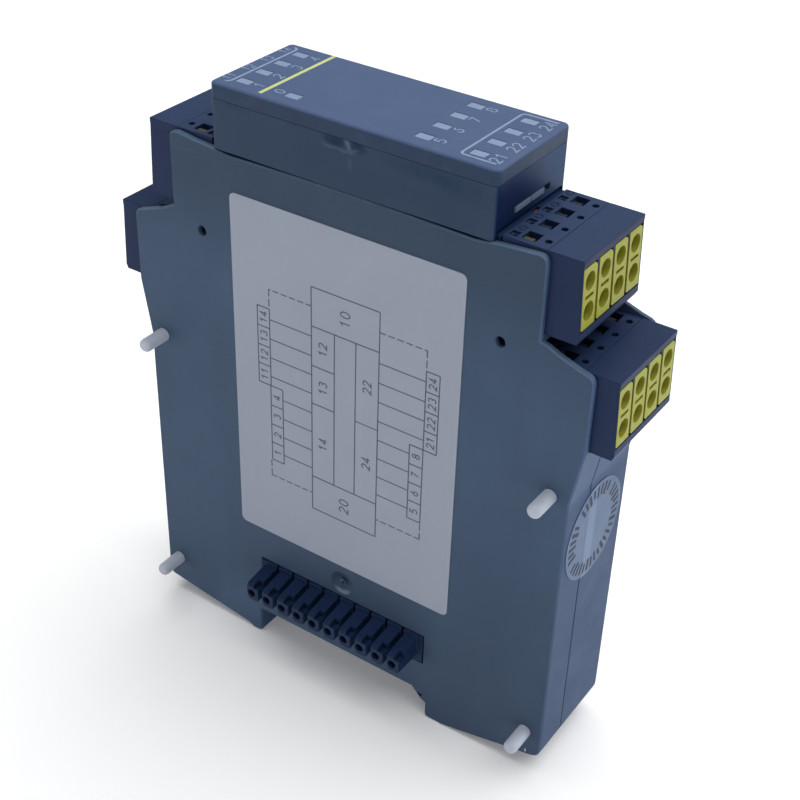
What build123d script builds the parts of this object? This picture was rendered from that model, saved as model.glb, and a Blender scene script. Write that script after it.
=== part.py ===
from build123d import *
import math
import os

os.makedirs("parts", exist_ok=True)

# ---------------------------------------------------------------- dimensions
# millimetres.  Frame: origin at the centre of the rail seat, +Z towards the
# indicator face, +X along the housing's length, +Y across its 22.5 mm width
# (the labelled side faces -Y).

width = 22.5                    # across the module
hy = width / 2
depth_from_rail = 114.5         # rail seat to indicator face
foot_z = -6.3                   # lowest point of both feet
plate_t = 1.05                  # side plates
inner_y = hy - plate_t          # inside face of either plate
part_y = -3.3                   # parting plane of the two housing shells
wall = 1.6                      # end and bottom walls
edge_ease = 0.3                 # broken edge round each side plate
seam_gap = 0.34                 # open groove along the parting line

end_right = 46.25               # end faces below the lower plugs
end_left = -46.15
shoulder_low_x = 48.15          # half length at the lower plugs
shoulder_up_x = 38.1            # half length at the upper plugs
lower_ledge_z = 70.0            # the lower plug stands on this ledge
ledge_foot_z = 58.6             # where the flare below the ledge ends

hood_x = 28.45                  # half length of the front hood
hood_seam_z = 111.65            # seam between hood and front plate
hood_low_z = 102.45             # lower edge of the hood's long sides
hood_end_z = 103.95             # lower edge of the hood's short sides
hood_wall = 1.3

pole_pitch = 5.08
plug_half_y = 10.1
plug_h = 14.7
plug_len = 14.9                 # visible plug body, outer face to header
plug_lean = 0.55                # outer face leans in by this at the top
plug_up_x, plug_up_z = 44.2, 88.8        # outer face and underside, upper pair
plug_low_x, plug_low_z = 52.6, 70.2      # the same, lower pair
pull_off = 10.0                 # travel that frees a plug

notch_left, notch_right = -20.8, 20.3    # rail notch walls
hook_throat_x = -17.8           # fixed hook, the rail's edge rests here
hook_tip_x = -15.9
rail_gap = 1.65                 # room for the rail's flange
latch_travel = 2.4

bus_pitch = 3.81
bus_poles = 10
bus_x0, bus_x1 = -20.2, 19.5    # opening for the bus connector
bus_z0, bus_z1 = 7.4, 14.6
fork_front = -17.4

peg_r = 1.35
peg_shank_r = 1.15             # part seated in the cover
peg_front = -17.2
pegs_at = [(-43.0, 59.2), (-43.0, 3.1), (42.6, 59.4), (42.6, 3.5)]

window_cols = [(-23.55, 4), (12.65, 4), (22.8, 4)]
window_single = (-13.25, -7.62)
window_x, window_y = 2.9, 1.9


# ------------------------------------------------------------------ helpers
def box(x0, x1, y0, y1, z0, z1):
    return Pos((x0 + x1) / 2, (y0 + y1) / 2, (z0 + z1) / 2) * Box(
        abs(x1 - x0), abs(y1 - y0), abs(z1 - z0))


def prism_y(pts, y0, y1):
    """Polygon given in (x, z), carried from y0 to y1."""
    face = make_face(Polyline([(x, y0, z) for x, z in pts], close=True))
    return extrude(face, amount=abs(y1 - y0), dir=(0, 1, 0) if y1 > y0 else (0, -1, 0))


def prism_x(pts, x0, x1):
    """Polygon given in (y, z), carried from x0 to x1."""
    face = make_face(Polyline([(x0, y, z) for y, z in pts], close=True))
    return extrude(face, amount=abs(x1 - x0), dir=(1, 0, 0) if x1 > x0 else (-1, 0, 0))


def cyl_y(x, z, r, y0, y1):
    return Pos(x, (y0 + y1) / 2, z) * Rot(90, 0, 0) * Cylinder(r, abs(y1 - y0))


def cyl_z(x, y, r, z0, z1):
    return Pos(x, y, (z0 + z1) / 2) * Cylinder(r, abs(z1 - z0))


def cyl_x(y, z, r, x0, x1):
    return Pos((x0 + x1) / 2, y, z) * Rot(0, 90, 0) * Cylinder(r, abs(x1 - x0))


def one(shape):
    """The single solid of a shape that must be one piece."""
    s = shape.solids()
    if len(s) != 1:
        s = sorted(s, key=lambda q: -q.volume)
        if s[1].volume > 0.02:
            raise ValueError("not one piece: %s" % [round(q.volume, 2) for q in s])
    return s[0]


nodes = {}


def keep(name, *solids):
    flat = []
    for s in solids:
        flat += list(s.solids())
    for s in flat:
        if not s.is_valid:
            raise ValueError("bad solid in " + name)
    nodes[name] = flat


# ------------------------------------------------------------- the outline
def arc_corner(p, q, r0, r1, n=5):
    """Points that round the corner q between r0 (before) and r1 (after)."""
    out = []
    for i in range(n + 1):
        t = i / n
        out.append(((1 - t) ** 2 * r0[0] + 2 * t * (1 - t) * q[0] + t * t * r1[0],
                    (1 - t) ** 2 * r0[1] + 2 * t * (1 - t) * q[1] + t * t * r1[1]))
    return out


top_edge = [(-36.3, 103.15), (-33.0, 102.75), (-29.6, 102.5), (-28.0, 102.3), (-26.2, 102.0),
            (-24.8, 101.85), (-18.5, 102.0), (-9.3, 102.2), (0.0, 102.3), (9.3, 102.2),
            (18.5, 102.0), (24.8, 101.85), (26.2, 102.0), (28.0, 102.3), (29.6, 102.5),
            (33.0, 102.75), (36.3, 103.0)]
right_side = (arc_corner(None, (38.1, 103.1), (36.3, 103.0), (38.1, 101.2))
              + [(38.1, 88.0), (39.2, 87.7), (42.0, 86.5), (45.4, 85.35)]
              + arc_corner(None, (48.15, 84.75), (46.6, 85.05), (48.15, 83.1))
              + [(48.15, lower_ledge_z), (end_right, ledge_foot_z)]
              + arc_corner(None, (end_right, -2.0), (end_right, 0.6), (44.0, -2.35))
              + [(37.8, -3.55), (28.8, -5.5), (24.6, foot_z), (21.3, foot_z)]
              + arc_corner(None, (notch_right, foot_z), (21.3, foot_z), (notch_right, -5.4), 3)
              + [(notch_right, -2.75), (19.3, -2.3), (17.0, 0.0)])
left_side = ([(notch_left, 0.0), (notch_left, -5.4)]
             + arc_corner(None, (notch_left, foot_z), (notch_left, -5.4), (-21.6, foot_z), 3)
             + [(-23.0, foot_z), (-24.4, -5.65), (-32.3, -4.5), (-37.9, -3.75), (-44.6, -2.75)]
             + arc_corner(None, (end_left, -2.55), (-44.9, -2.7), (end_left, -1.2), 3)
             + [(end_left, ledge_foot_z), (-48.15, lower_ledge_z), (-48.15, 82.7)]
             + arc_corner(None, (-48.15, 84.9), (-48.15, 82.7), (-46.3, 85.1))
             + [(-44.1, 85.9), (-41.0, 87.0), (-39.2, 88.0), (-38.4, 88.3), (-38.4, 101.2)]
             + arc_corner(None, (-38.4, 103.2), (-38.4, 101.2), (-36.3, 103.15)))


def clean(pts):
    out = []
    for p in pts:
        if not out or math.dist(p, out[-1]) > 0.05:
            out.append(p)
    if math.dist(out[0], out[-1]) < 0.05:
        out.pop()
    return out


outline = clean(top_edge + right_side + left_side)

# hollow inside the walls, open towards the plug pockets and the hood
cavity = [(-44.5, 1.8), (-24.0, 1.8), (-24.0, 1.8), (-18.2, 1.8), (44.6, 1.8), (44.6, 58.4),
          (46.4, 68.3), (28.5, 68.3), (28.5, 120), (-28.5, 120), (-28.5, 68.3), (-46.4, 68.3),
          (-44.5, 58.4)]
cavity = clean(cavity)
# everything the plugs and headers take up, cut right through to the ends
low_pocket = [(26.0, lower_ledge_z), (60, lower_ledge_z), (60, 86.0), (26.0, 86.0)]
up_pocket = [(17.0, 87.6), (60, 87.6), (60, 120), (17.0, 120)]
gap_pocket = [(37.2, 80.0), (60, 80.0), (60, 90.0), (37.2, 90.0)]
pockets = [low_pocket, up_pocket, gap_pocket]


def mirror_pts(pts):
    return [(-x, z) for x, z in pts][::-1]


def shell(y_out, y_in, y_split):
    """One housing shell: side plate from y_out to y_in, walls on to y_split."""
    body = prism_y(outline, y_out, y_split)
    # eased outer edge all round the side plate
    rim_edges = body.faces().sort_by(Axis.Y)[0 if y_out < y_split else -1].outer_wire().edges()
    body = chamfer(rim_edges, edge_ease)
    hollow = prism_y(cavity, y_in, y_split)
    body -= hollow
    for pts in pockets:
        body -= prism_y(pts, y_in, y_split)
        body -= prism_y(mirror_pts(pts), y_in, y_split)
    # shelf between the lower and the upper header
    for sx in (1, -1):
        body += box(sx * 22.0, sx * 36.8, y_in, y_split, 86.2, 87.5)
    return body


# channel for the rail latch in the right foot, open downwards
latch_half = 4.4
channel = [box(notch_right - 0.5, 41.9, -latch_half - 0.3, latch_half + 0.3, -8.0, -0.35),
           box(23.4, 41.9, -latch_half - 1.3, latch_half + 1.3, -2.35, -1.05),
           box(15.5, 24.4, -latch_half - 0.3, latch_half + 0.3, -8.0, -1.3)]

# ---------------------------------------------------------------- side cover
cover = shell(-hy, -inner_y, part_y - seam_gap / 2)
for c in channel:
    cover -= c
cover -= box(bus_x0, bus_x1, -hy - 1, -inner_y + 1, bus_z0, bus_z1)
for x in (-31.7, 30.95):
    cover -= cyl_y(x, 85.25, 1.0, -hy - 1, -inner_y + 1)
# moulded dimple with its small centre nub
cover -= Pos(0.0, -hy + 0.35, 18.0) * Rot(90, 0, 0) * Cone(1.05, 2.85, 0.9)
cover += cyl_y(0.0, 18.2, 0.72, -hy + 0.2, -hy + 0.9)
cover -= cyl_y(0.1, 18.1, 0.28, -hy - 0.3, -hy + 0.5)
# room for the latch lip beside the seat
cover -= box(15.85, 17.6, -5.2, part_y + 1, -0.4, 0.25)
# small recess beside the notch
cover -= box(18.6, 19.6, -hy - 1, -hy + 0.6, -1.5, -0.8)
for x, z in pegs_at:
    cover += cyl_y(x, z, 2.9, -inner_y - 0.2, -4.6)
for x, z in pegs_at:
    cover -= cyl_y(x, z, peg_shank_r + 0.01, -hy - 1, -5.2)
# joint tongue on the inside of the end and bottom walls
keep("side_cover", one(cover))

# --------------------------------------------------------------- housing tub
tub = shell(hy, inner_y, part_y + seam_gap / 2)
# lip that closes the seam behind its open groove
lip_face = offset(make_face(Polyline([(x, part_y + seam_gap / 2, z) for x, z in outline], close=True)),
                  amount=-0.9)
lip = extrude(lip_face, amount=seam_gap, dir=(0, -1, 0))
lip -= prism_y(cavity, part_y - 1, part_y + 1)
for pts in pockets:
    lip -= prism_y(pts, part_y - 1, part_y + 1)
    lip -= prism_y(mirror_pts(pts), part_y - 1, part_y + 1)
tub += lip
for c in channel:
    tub -= c
tub -= box(bus_x0, bus_x1, inner_y - 1, hy + 1, bus_z0, bus_z1)
for x, z in pegs_at:
    tub += box(x - 2.9, x + 2.9, 3.4, inner_y + 0.2, z - 2.9, z + 2.9)
for x, z in pegs_at:
    tub -= box(x - 1.95, x + 1.95, 4.5, hy + 1, z - 1.95, z + 1.95)
# the seat proper stands a little proud between the hook and the latch
tub -= box(notch_left + 0.0, -15.75, part_y - 1, hy + 1, -0.4, 0.25)
tub -= box(15.85, 17.6, part_y - 1, hy + 1, -0.4, 0.25)
# fixed rail hook in the middle of the left foot, on the tub's side
hook = prism_y([(notch_left - 1.0, 0.9), (hook_throat_x, 0.9), (hook_throat_x, -rail_gap),
                (hook_tip_x, -rail_gap - 0.15), (hook_tip_x, -2.9), (-18.6, -5.2),
                (notch_left - 1.0, -5.2)], part_y + 0.0, 5.5)
tub += hook
# post that the latch spring bears on
tub += box(34.2, 36.2, -1.15, 1.15, -2.9, -0.2)
# ribs that carry the main board
for z in (30.0, 55.0):
    tub += box(-39.6, -33.0, inner_y - 0.05, inner_y + 0.2, z, z + 1.2)
keep("housing_tub", one(tub))

# ---------------------------------------------------------------- front hood
hood = box(-hood_x, hood_x, -hy, hy, hood_low_z, hood_seam_z)
hood = fillet(hood.edges().filter_by(Axis.Z), 1.1)
hood -= box(-hood_x + hood_wall, hood_x - hood_wall, -inner_y, inner_y, 90, 120)
for sx in (1, -1):
    # the short sides end a little higher, clear of the plugs
    hood -= box(sx * (hood_x + 1), sx * 25.9, -hy + 0.9, hy - 0.9, 100, hood_end_z)
    hood -= box(sx * (hood_x + 1), sx * 26.0, -5.7, 5.8, 105.0, 106.25)
    # ledge for the indicator board
    hood += box(sx * 24.9, sx * (hood_x - 0.5), -hy + 1.0, hy - 1.0, 106.9, 107.9)
# the long sides' lower corners lift towards the ends
for sy in (1, -1):
    # skirt tucked inside the side plates
    y0, y1 = sy * (inner_y - 1.25), sy * (inner_y - 0.15)
    hood += box(-15.5, 15.5, y0, y1, 99.6, hood_low_z + 2.0)
    hood += box(-15.5, 15.5, y0, sy * (inner_y + 0.3), hood_low_z + 0.2, hood_low_z + 2.0)
# rim that locates the front plate
rim = (box(-hood_x + 0.85, hood_x - 0.85, -hy + 0.85, hy - 0.85, hood_seam_z - 1.5, hood_seam_z + 0.8)
       - box(-hood_x + hood_wall + 0.5, hood_x - hood_wall - 0.5, -hy + hood_wall + 0.5,
             hy - hood_wall - 0.5, hood_seam_z - 3, hood_seam_z + 3))
hood += rim
keep("front_hood", one(hood))

# --------------------------------------------------------------- front plate
fp_low = hood_seam_z + 0.05
plate = box(-hood_x, hood_x, -hy, hy, fp_low, depth_from_rail)
plate = fillet(plate.edges().filter_by(Axis.Z), 1.1)
plate = fillet(plate.faces().sort_by(Axis.Z)[-1].edges(), 0.55)
plate -= box(-hood_x + 0.75, hood_x - 0.75, -hy + 0.75, hy - 0.75, fp_low - 1, depth_from_rail - 1.7)
windows = [window_single]
for cx, n in window_cols:
    windows += [(cx, (i - 1.5) * pole_pitch) for i in range(n)]
for cx, cy in windows:
    plate -= box(cx - window_x / 2, cx + window_x / 2, cy - window_y / 2, cy + window_y / 2,
                 100, 120)
keep("front_plate", one(plate))

# --------------------------------------------------------------- light guide
gap = 0.06
guide = box(-25.2, 24.6, -9.2, -8.2, 110.2, 111.3) + box(-25.2, 24.6, 8.2, 9.2, 110.2, 111.3)
for cx in (-23.55, -13.25, 12.65, 22.8):
    guide += box(cx - 1.0, cx + 1.0, -9.2, 9.2, 110.2, 111.3)
for cx, cy in windows:
    guide += box(cx - window_x / 2 + gap, cx + window_x / 2 - gap,
                 cy - window_y / 2 + gap, cy + window_y / 2 - gap, 109.4, depth_from_rail - 0.05)
keep("light_guide", one(guide))

# ----------------------------------------------------------- indicator board
keep("indicator_board", one(box(-26.3, 26.3, -9.5, 9.5, 107.95, 108.55)))
keep("indicator_leds", *[box(cx - 0.8, cx + 0.8, cy - 0.5, cy + 0.5, 108.55, 109.25)
                         for cx, cy in windows])

# -------------------------------------------------------------- hood catches
catches = []
for sx in (1, -1):
    c = box(sx * 26.6, sx * 28.6, -5.3, -0.6, 105.15, 106.1)
    c += box(sx * 26.6, sx * 28.6, -0.4, 3.7, 105.15, 106.1)
    c += box(sx * 25.6, sx * 26.8, -5.3, 3.7, 104.6, 106.5)
    catches.append(one(c))
keep("hood_catches", *catches)

# ---------------------------------------------------------------- the boards
lower_back = plug_low_x - 25.5      # back of the lower headers
upper_back = plug_up_x - 25.5
board_pts = [(-39.4, 17.5), (39.4, 17.5), (39.4, 66.0), (lower_back - 0.4, 66.0),
             (lower_back - 0.4, 85.9), (upper_back - 0.4, 85.9), (upper_back - 0.4, 99.2),
             (-upper_back + 0.4, 99.2), (-upper_back + 0.4, 85.9), (-lower_back + 0.4, 85.9),
             (-lower_back + 0.4, 66.0), (-39.4, 66.0)]
keep("main_board", one(prism_y(board_pts, 8.4, 10.0)))
chan_pts = [(-38.0, 20.0), (38.0, 20.0), (38.0, 62.0), (-38.0, 62.0)]
keep("channel_board", one(prism_y(chan_pts, -8.2, -7.0)))
keep("board_link", one(box(-12.7, 12.7, -7.0, 8.4, 53.0, 58.0)))
keep("front_link", one(box(-6.4, 6.4, 4.6, 8.4, 92.0, 107.95)))
keep("controllers", one(box(-20.0, -8.0, -7.0, -5.5, 33.0, 45.0)),
     one(box(-20.0, -8.0, 6.9, 8.4, 33.0, 45.0)))
keep("input_couplers", *[one(box(x, x + 4.6, 6.2, 8.4, z, z + 6.5))
                         for x in (-37.0, -31.0, 26.5, 32.5) for z in (48.5, 57.0)])
keep("output_switches", *[one(box(x, x + 9.0, 4.0, 8.4, z, z + 9.6))
                          for x in (16.0, 27.5) for z in (22.0, 34.5)])
keep("smoothing_caps", *[one(cyl_y(x, z, 3.9, -3.4, 8.4)) for x, z in
                         ((-33.0, 26.0), (-23.5, 26.0), (-33.0, 37.0))])
xf = box(-4.5, 10.5, -4.0, 8.4, 33.0, 47.0)
xf = chamfer(xf.edges().filter_by(Axis.Y), 1.0)
keep("isolating_transformer", one(xf))
keep("power_choke", one(cyl_y(-10.0, 26.0, 4.6, 1.4, 8.4)))

# ------------------------------------------------------------- bus connector
bus_cx = (bus_x0 + bus_x1) / 2 - 0.25
fork_w, fork_h = 2.75, 3.75
fork_z0 = 8.65
hole_dx, hole_dz = -0.3, 1.65   # contact hole from the finger's centre and foot
bus_margin = 0.3                # open groove between the connector and the housing
tile_top = bus_z1 - 0.25
plug_bus = box(bus_x0 + bus_margin, bus_x1 - bus_margin, -hy, -6.0, bus_z0 + 0.2, tile_top)
plug_bus += box(bus_x0 + 0.05, bus_x1 - 0.05, -hy + 1.2, -6.0, bus_z0 + 0.05, bus_z1 - 0.05)
bus_x = [bus_cx + (i - (bus_poles - 1) / 2) * bus_pitch for i in range(bus_poles)]
# a root plate behind each finger, the plates parted by narrow grooves
for i, x in enumerate(bus_x):
    left = bus_x0 + bus_margin if i == 0 else x - 1.62
    t = box(left, x + 1.66, -hy - 0.3, -hy + 0.2, fork_z0 + 0.6, tile_top)
    plug_bus += chamfer(t.edges().group_by(Axis.Y)[0].sort_by(Axis.Z)[-1], 0.14)
for x in bus_x[:-1]:
    plug_bus -= box(x + 1.66, x + 2.19, -hy - 1, -hy + 0.7, fork_z0 + 0.6, tile_top + 1)
fork_rise = 0.85                # the fingers thicken towards the root
for x in bus_x:
    top = fork_z0 + fork_h
    f = prism_y([(x - fork_w / 2, fork_z0 + 0.9), (x - fork_w / 2 + 0.4, fork_z0),
                 (x + fork_w / 2 - 0.2, fork_z0 - 0.0), (x + fork_w / 2, fork_z0 + 0.4),
                 (x + fork_w / 2, top + fork_rise), (x - fork_w / 2, top + fork_rise)],
                -hy + 0.2, fork_front)
    f -= prism_x([(fork_front - 0.1, top), (-hy - 0.3, top + fork_rise), (-hy - 0.3, top + 3),
                  (fork_front - 0.1, top + 3)], x - 2, x + 2)
    # eased upper front edge
    f -= prism_x([(fork_front - 0.1, top - 0.45), (fork_front - 0.1, top + 0.2),
                  (fork_front + 0.7, top + 0.2)], x - 2, x + 2)
    # keying notch in the upper right corner, a lower lip in front of it
    f -= box(x + 0.2, x + 2, fork_front + 0.35, fork_front + 2.0, top - 1.1, top + 2)
    f -= box(x + 0.2, x + 2, fork_front - 1, fork_front + 0.4, top - 0.6, top + 2)
    plug_bus += f
for x in bus_x:
    plug_bus -= cyl_y(x + hole_dx, fork_z0 + hole_dz, 0.88, fork_front - 1, -7.6)
keep("bus_plug", one(plug_bus))

sock = box(bus_x0 + 0.1, bus_x1 - 0.1, 3.4, hy, bus_z0 + 0.1, bus_z1 - 0.1)
for x in bus_x:
    sock -= box(x - 1.55, x + 1.55, 4.6, hy + 1, fork_z0 - 0.25, fork_z0 + fork_h + fork_rise + 0.2)
keep("bus_socket", one(sock))
# contact strips: a pin in each far chamber, a sleeve behind each fork hole
keep("bus_contacts", *[one(cyl_y(x + hole_dx, fork_z0 + hole_dz, 0.62, -10.5, 10.4)
                           + box(x - 0.5, x + 0.3, -1.0, 1.0, fork_z0 + hole_dz, 16.4)) for x in bus_x])
bt = nodes["bus_contacts"]
plug_cut = plug_bus
for x in bus_x:
    plug_cut -= cyl_y(x + hole_dx, fork_z0 + hole_dz, 0.66, -8.0, -5.0)
    sock -= cyl_y(x + hole_dx, fork_z0 + hole_dz, 0.66, 3.0, 5.0)
keep("bus_plug", one(plug_cut))
keep("bus_socket", one(sock))
bb = box(-21.0, 20.5, -6.4, 8.1, 15.2, 16.4)
for x in bus_x:
    bb -= box(x - 0.55, x + 0.35, -1.05, 1.05, 15, 17)
keep("bus_board", one(bb))

# -------------------------------------------------------------- small pieces
pegs = []
for x, z in pegs_at:
    p = cyl_y(x, z, peg_r, peg_front, -hy)
    p = fillet(p.edges().group_by(Axis.Y)[0], 1.0)
    p += cyl_y(x, z, peg_shank_r, -hy - 0.5, -5.4)
    pegs.append(one(p))
keep("locating_pegs", *pegs)
# square bushes that take the next module's pegs
keep("peg_sockets", *[one(box(x - 1.95, x + 1.95, 4.5, hy, z - 1.95, z + 1.95)
                          - cyl_y(x, z, peg_r + 0.15, 4.0, hy + 1)) for x, z in pegs_at])

lab = Pos(-0.3, -hy - 0.08, 58.8) * Rot(90, 0, 0) * Box(49.0, 72.8, 0.16)
lab = fillet(lab.edges().filter_by(Axis.Y), 1.2)
keep("side_label", one(lab))
keep("end_seal", one(cyl_x(-0.2, 47.1, 9.9, end_right, end_right + 0.15)))

# ---------------------------------------------------------------- rail latch
lt = prism_y([(16.0, -1.85), (17.8, -rail_gap), (17.8, -1.5), (20.6, -1.5), (21.0, -0.65),
              (39.0, -0.65), (39.0, -2.75), (24.2, -2.75), (21.4, -5.3), (18.3, -5.3),
              (16.0, -3.0)], -latch_half, latch_half)
lt += box(23.8, 38.6, -latch_half - 1.0, latch_half + 1.0, -2.05, -1.3)
lt -= box(26.0, 36.6, -1.5, 1.5, -4, 1)
# slot for a screwdriver tip
lt -= box(37.3, 38.3, -2.2, 2.2, -4, -1.3)
keep("rail_latch", one(lt))

# spring between the latch and the post
sp_r, wire_r, sp_z = 0.88, 0.17, -1.75
coils, sp_a, sp_b = 6.5, 26.25, 34.0
hel = Helix(pitch=(sp_b - sp_a) / coils, height=sp_b - sp_a, radius=sp_r)
prof = Plane(origin=hel @ 0, z_dir=hel % 0) * Circle(wire_r)
spring = sweep(prof, path=hel, is_frenet=True)
spring = Pos(sp_a, 0, sp_z) * Rot(0, 90, 0) * spring
keep("latch_spring", one(spring))


# ------------------------------------------------------------ plugs, headers
def place(shape, x_face, z_low, sx):
    """Local (s inwards from the face, y, w up from the underside) to the row."""
    s = shape if sx < 0 else Rot(0, 0, 180) * shape
    return Pos(sx * x_face, 0, z_low) * s


# in the local frame +X is inwards from the outer face, so for the right-hand
# side the piece is turned half a turn about Z; every piece is symmetric in y
pole_y = [(i - 1.5) * pole_pitch for i in range(4)]
ins_w0, ins_w1 = 2.3, 13.2


def lean(w):
    return plug_lean * w / plug_h


def make_plug_body(sg):
    """sg turns the marks on the upper face towards the labelled side."""
    b = prism_y([(0.4, 0.0), (plug_len, 0.0), (plug_len, plug_h), (lean(plug_h) - 0.05, plug_h),
                 (lean(13.9) - 0.05, 13.9), (lean(13.7) + 0.05, 13.7), (0.05, ins_w0 - 0.3), (0.05, ins_w0 - 0.6),
                 (0.0, 0.8)], -plug_half_y, plug_half_y)
    # face set back between the narrow sides
    b -= box(-1.0, 0.62, -plug_half_y + 0.22, plug_half_y - 0.22, ins_w0 - 0.3, 13.65)
    # tongue that enters the header
    b += box(plug_len - 0.5, 22.0, -9.3, 9.3, 2.2, 12.7)
    for y in pole_y:
        # chamber for the insert and the clamp
        b -= box(-1.0, 12.6, y - 2.25, y + 2.25, ins_w0, ins_w1)
        # socket for the pin
        b -= box(12.0, 23.0, y - 1.45, y + 1.45, 4.9, 9.1)
        # screwdriver opening and test hole in the upper face
        b -= box(9.75, 12.3, y - 1.35, y + 1.35, 11.0, 16.0)
        b -= cyl_z(8.15, y, 0.62, 12.0, 16.0)
        # square well with a small hole, and a ring mark beside it
        yc = y + 0.75 * sg
        b -= box(13.0, 14.5, yc - 0.8, yc + 0.8, plug_h - 0.4, 16.0)
        b -= cyl_z(13.75, yc, 0.42, plug_h - 1.2, 16.0)
        yr = y - 1.5 * sg
        b -= cyl_z(13.7, yr, 0.72, plug_h - 0.14, 16.0) - cyl_z(13.7, yr, 0.5, plug_h - 1, 17.0)
    # fine groove across the upper face
    b -= box(6.85, 6.97, -11, 11, plug_h - 0.1, 16.0)
    return one(b)


def make_insert(y, sg):
    c = 0.04
    pts = [(0.06, ins_w0 + c), (7.4, ins_w0 + c), (7.4, ins_w1 - c), (lean(ins_w1) + 0.06, ins_w1 - c)]
    i = prism_y(pts, y - 2.2, y + 2.2)
    for w in (5.2, 10.5):
        i -= Pos(1.6, y, w) * Rot(0, -90, 0) * Cone(1.05, 1.68, 3.4)
        i -= Pos(4.0, y, w) * Rot(0, 90, 0) * Cylinder(1.05, 8.0)
    # slit between the two funnels
    i -= box(-1.0, 1.8, y - 1.3, y + 1.3, 7.6, 8.15)
    # corners rounded in the upper far and the lower near corner
    r = 1.15
    cut = box(-1.0, 9.0, y - 2.3, y - 2.2 + r, ins_w1 - c - r, ins_w1 + 0.1)
    cut -= cyl_x(y - 2.2 + r, ins_w1 - c - r, r, -2.0, 10.0)
    i -= cut
    r = 0.5
    cut = box(-1.0, 9.0, y + 2.2 - r, y + 2.3, ins_w0 - 0.1, ins_w0 + c + r)
    cut -= cyl_x(y + 2.2 - r, ins_w0 + c + r, r, -2.0, 10.0)
    i -= cut
    # arm under the upper face, its end showing at one side of the screwdriver opening
    ya, yb = sorted((y + 0.2 * sg, y + 1.25 * sg))
    i += box(7.2, 12.1, ya, yb, 12.35, ins_w1 - c)
    i += box(10.3, 12.1, ya, yb, 12.35, plug_h - 0.2)
    return one(i)


def make_clamp(y):
    c = box(7.6, 8.0, y - 1.9, y + 1.9, 3.4, 12.2)
    c -= cyl_x(y, 5.2, 1.1, 7, 9)
    c -= cyl_x(y, 10.5, 1.1, 7, 9)
    c += box(7.6, 11.4, y - 1.9, y + 1.9, 11.85, 12.2)
    c += box(7.6, 11.4, y - 1.9, y + 1.9, 3.1, 3.45)
    c += box(11.1, 11.4, y - 1.9, y + 1.9, 9.6, 12.2)
    c += box(11.1, 11.4, y - 1.9, y + 1.9, 3.1, 4.6)
    return one(c)


def make_contact(y):
    # current bar behind the clamps with a four-sided sleeve for the pin
    c = box(11.7, 12.4, y - 1.5, y + 1.5, 4.0, 11.6)
    c += box(12.3, 20.6, y - 1.15, y + 1.15, 5.35, 8.65)
    c -= box(13.5, 21.0, y - 0.8, y + 0.8, 5.9, 8.1)
    return one(c)


def make_header():
    h = box(15.2, 25.5, -10.0, 10.0, 0.05, 14.4)
    h -= box(14.0, 23.2, -9.4, 9.4, 1.9, 13.0)
    # groove for a coding tab
    h -= box(14.0, 15.95, -2.2, -0.2, 13.1, 16.0)
    for y in pole_y:
        h -= box(22.0, 27.0, y - 0.56, y + 0.56, 6.44, 7.56)
    return one(h)


def make_pins(mirror):
    """Square pins through the header, bent across to the main board."""
    out = []
    for k, y in enumerate(pole_y):
        # the pin nearest the board is bent first
        order = 3 - k if not mirror else k
        ext = 27.1 + 1.6 * order
        to = 9.6 if not mirror else -9.6
        p = box(15.9, ext, y - 0.5, y + 0.5, 6.5, 7.5)
        p += box(ext - 1.0, ext, min(y, to), max(y, to), 6.5, 7.5)
        out.append(one(p))
    return out


plug_body = {sg: make_plug_body(sg) for sg in (1, -1)}
inserts = {sg: [make_insert(y, sg) for y in pole_y] for sg in (1, -1)}
clamps = [make_clamp(y) for y in pole_y]
contacts = [make_contact(y) for y in pole_y]
header = make_header()

board = nodes["main_board"][0]
sites = {"upper_right": (plug_up_x, plug_up_z, 1), "lower_right": (plug_low_x, plug_low_z, 1),
         "upper_left": (plug_up_x, plug_up_z, -1), "lower_left": (plug_low_x, plug_low_z, -1)}
for name, (xf_, zl, sx) in sites.items():
    keep("plug_body_" + name, place(plug_body[sx], xf_, zl, sx))
    keep("wire_funnels_" + name, *[place(s, xf_, zl, sx) for s in inserts[sx]])
    keep("clamp_springs_" + name, *[place(s, xf_, zl, sx) for s in clamps])
    keep("plug_contacts_" + name, *[place(s, xf_, zl, sx) for s in contacts])
    keep("header_" + name, place(header, xf_, zl, sx))
    pins = make_pins(sx > 0)
    placed = [place(s, xf_, zl, sx) for s in pins]
    keep("header_pins_" + name, *placed)
    # holes in the board for the bent ends
    for k, y in enumerate(pole_y):
        order = 3 - k if sx < 0 else k
        ext = 27.1 + 1.6 * order
        xa, xb = sorted((sx * (xf_ - ext - 0.06), sx * (xf_ - ext + 1.06)))
        board -= box(xa, xb, 8.0, 11.0, zl + 6.44, zl + 7.56)
keep("main_board", one(board))

# red coding tab on the upper right header's edge
keep("coding_tab", one(box(28.5, 29.15, 0.5, 1.9, plug_up_z + 13.2, plug_up_z + 14.05)))

for name, solids in nodes.items():
    shape = solids[0] if len(solids) == 1 else Compound(children=solids)
    export_step(shape, "parts/%s.step" % name)
print(len(nodes), "nodes")
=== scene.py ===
import math
import random

import bmesh
import bpy
from mathutils import Matrix, Vector


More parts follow.
